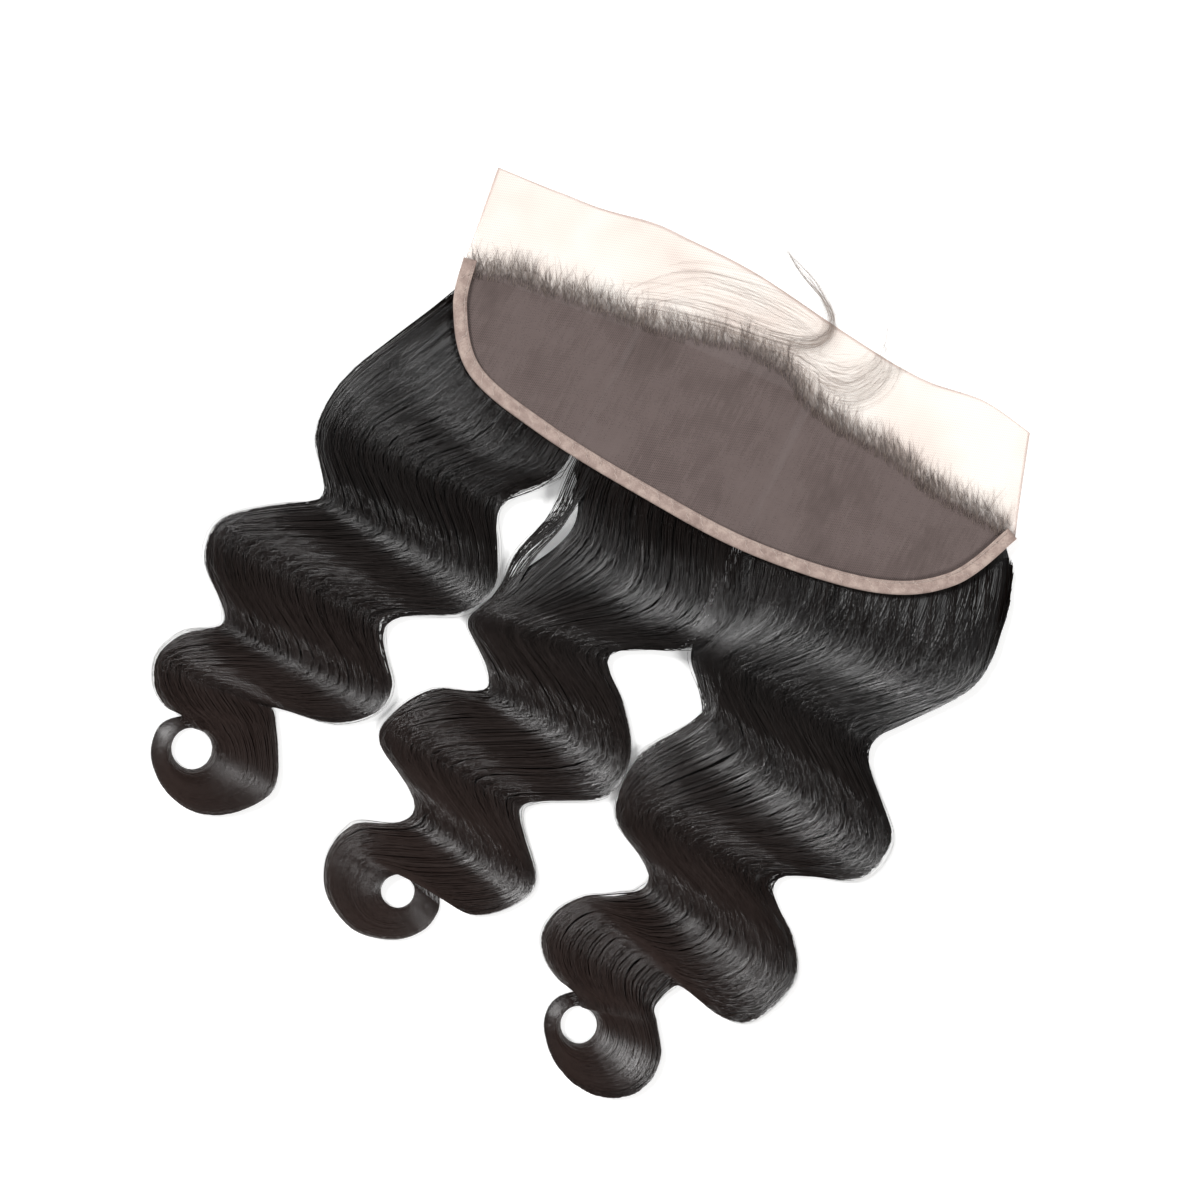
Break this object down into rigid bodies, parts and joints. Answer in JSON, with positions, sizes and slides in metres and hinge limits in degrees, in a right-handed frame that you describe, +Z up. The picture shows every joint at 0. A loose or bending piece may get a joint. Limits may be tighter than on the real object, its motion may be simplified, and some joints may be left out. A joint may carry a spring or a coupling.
{
  "type": "lace frontal hairpiece",
  "caption": "Lace frontal hairpiece lying flat, inside of the lace up: a net base with a bare front margin, a tape-bound rear edge and wavy locks that end in ring curls.",
  "frame": {"origin": "middle of the bounding box's underside, on the surface that the piece lies on", "axes": "+Z up from the surface, +Y toward the bare front margin of the lace with the hair along -Y, +X from the left ear end of the lace to the right one as seen from above"},
  "size_m": [0.4124, 0.4424, 0.0195],
  "materials": {
    "lace_net": "matte",
    "tape_cotton": "matte",
    "hair_left_dark": "satin",
    "hair_middle_dark": "satin",
    "hair_right_dark": "satin"
  },
  "bodies": {
    "root": {"lace_sheet": "lace_net", "edge_binding": "tape_cotton", "hair_left": "hair_left_dark", "hair_middle": "hair_middle_dark", "hair_right": "hair_right_dark"}
  },
  "joints": []
}
